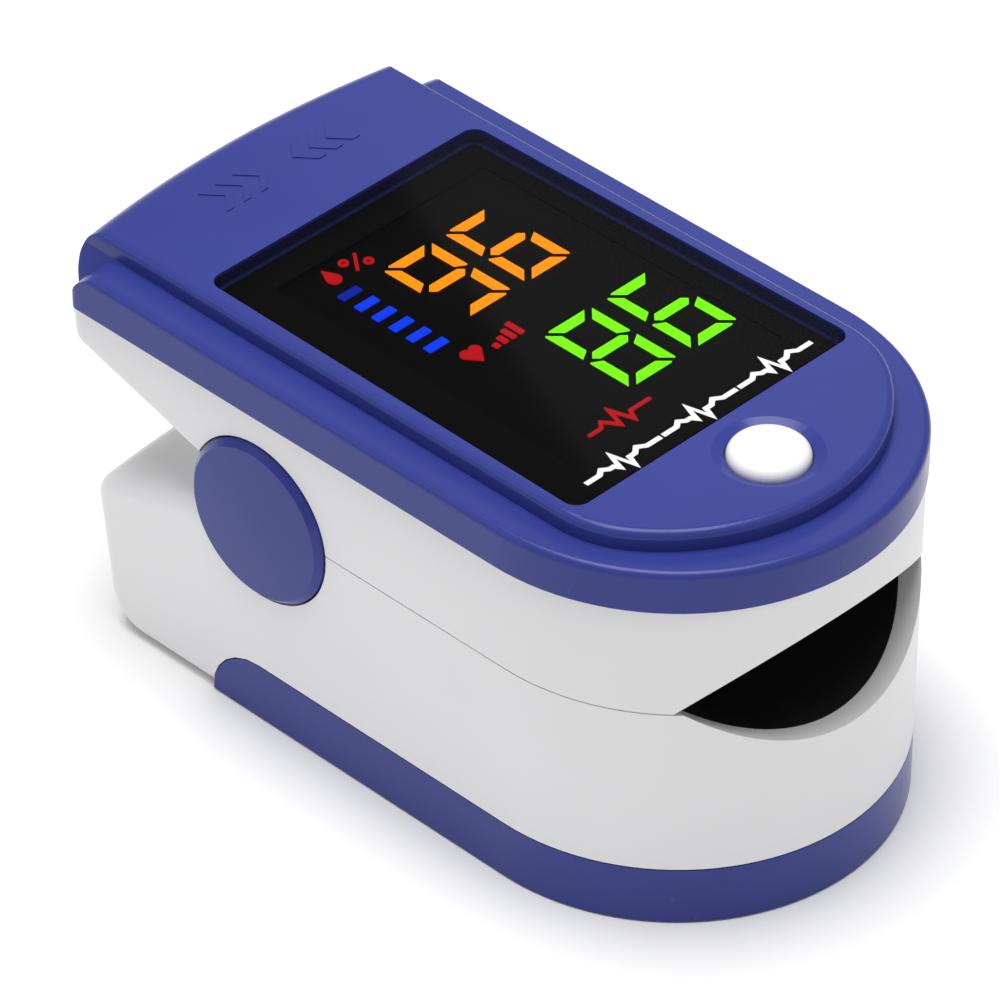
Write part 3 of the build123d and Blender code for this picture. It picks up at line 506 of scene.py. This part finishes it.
def film_strip(bm, route, half_width, half_thickness):
    """Flat strip with a rectangular section along a route of (y, z) points in millimetres."""
    upper_line, under_line = strip_sides(route, 2 * half_thickness)
    rings = [[bm.verts.new((x * MM, p.x * MM, p.y * MM)) for p, x in
              ((a, -half_width), (a, half_width), (b, half_width), (b, -half_width))]
             for a, b in zip(upper_line, under_line)]
    for near, far in zip(rings, rings[1:]):
        for k in range(4):
            bm.faces.new((near[k], near[(k + 1) % 4], far[(k + 1) % 4], far[k]))
    bm.faces.new(rings[0])
    bm.faces.new(rings[-1])


bm = bmesh.new()
film_strip(bm, rounded(cable_route, corner_reach), cable_half_width, film_half_thickness)
cable = add_piece(bm, "flex_cable_film", film)
smoothed(cable, BENT_CREASE)
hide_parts("flex_cable")
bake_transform(cable)

# ------------------------------------------------------------------ floor and camera
floor_gap = 0.00002
floor_mesh = bpy.data.meshes.new("floor")
floor_mesh.from_pydata([(-3, -3, 0), (3, -3, 0), (3, 3, 0), (-3, 3, 0)], [], [(0, 1, 2, 3)])
floor = bpy.data.objects.new("floor", floor_mesh)
scene.collection.objects.link(floor)
floor.location.z = -floor_gap
paper = Shader("floor_paper")
paper.feed("Base Color", paper.shaded(paper.noise(3.0, 2.0), (0.95, 0.95, 0.95), (0.965, 0.965, 0.965)))
paper.set(Roughness=0.8, Specular_IOR_Level=0.1)
floor_mesh.materials.append(paper.material)

camera_place = (-0.26958, -0.25940, 0.30851)
camera_heading = -45.79
camera_elevation = 38.09
camera_roll = 0.31

camera = bpy.data.cameras.new("camera")
camera.lens = 253.9
camera.sensor_width = 36.0
camera.clip_start = 0.01
camera.clip_end = 20.0
viewer = bpy.data.objects.new("camera", camera)
scene.collection.objects.link(viewer)
viewer.matrix_world = (
    Matrix.Translation(camera_place)
    @ Matrix.Rotation(radians(camera_heading), 4, "Z")
    @ Matrix.Rotation(radians(90 - camera_elevation), 4, "X")
    @ Matrix.Rotation(radians(camera_roll), 4, "Z")
)
scene.camera = viewer

# ------------------------------------------------------------------ light
world = bpy.data.worlds.new("studio")
scene.world = world
world.use_nodes = True
background = world.node_tree.nodes["Background"]
background.inputs["Color"].default_value = (1.0, 1.0, 1.0, 1.0)
background.inputs["Strength"].default_value = 0.32


def panel(name, location, target, width, height, power):
    """Softbox: a rectangular area light aimed at a point."""
    light = bpy.data.lights.new(name, "AREA")
    light.shape = "RECTANGLE"
    light.size = width
    light.size_y = height
    light.energy = power
    thing = bpy.data.objects.new(name, light)
    scene.collection.objects.link(thing)
    thing.location = location
    aim = Vector(target) - Vector(location)
    thing.rotation_euler = aim.to_track_quat("-Z", "Y").to_euler()
    return thing


panel("top_softbox", (-0.02, 0.02, 0.75), (0, 0, 0.015), 0.5, 0.5, 5.5)
panel("left_softbox", (-0.42, 0.36, 0.36), (0, 0, 0.02), 0.30, 0.30, 0.15)
panel("front_softbox", (0.25, -0.55, 0.35), (0, 0, 0.02), 0.30, 0.30, 0.15)

# narrow softbox whose near edge shows as a diagonal line across the window, between two places on it
glint_width, glint_height, glint_distance, glint_power = 0.12, 0.24, 0.5, 0.055
line_ends = [Vector((x * MM, y * MM, lens_top)) for x, y in ((4.8, 17.3), (-10.2, -16.2))]
eye = viewer.matrix_world.translation


def mirrored(point):
    """Direction in which the level window reflects the view of a point on it."""
    ray = (point - eye).normalized()
    return Vector((ray.x, ray.y, -ray.z))


rear_place, front_place = [point + mirrored(point) * glint_distance for point in line_ends]
glint_edge = (rear_place - front_place).normalized()
glint_ray = mirrored((line_ends[0] + line_ends[1]) / 2)
glint_out = glint_edge.cross(glint_ray).normalized()
if glint_out.x < 0:
    glint_out = -glint_out
glint_up = glint_ray.cross(glint_out).normalized()
glint_place = (rear_place + front_place) / 2 + glint_out * (glint_width / 2)
glint = panel("window_glint", glint_place, (0, 0, 0), glint_width, glint_height, glint_power)
glint_turn = Matrix((glint_out, glint_up, glint_ray)).transposed().to_4x4()
glint.matrix_world = Matrix.Translation(glint_place) @ glint_turn

scene.view_settings.view_transform = "Standard"
scene.view_settings.look = "None"
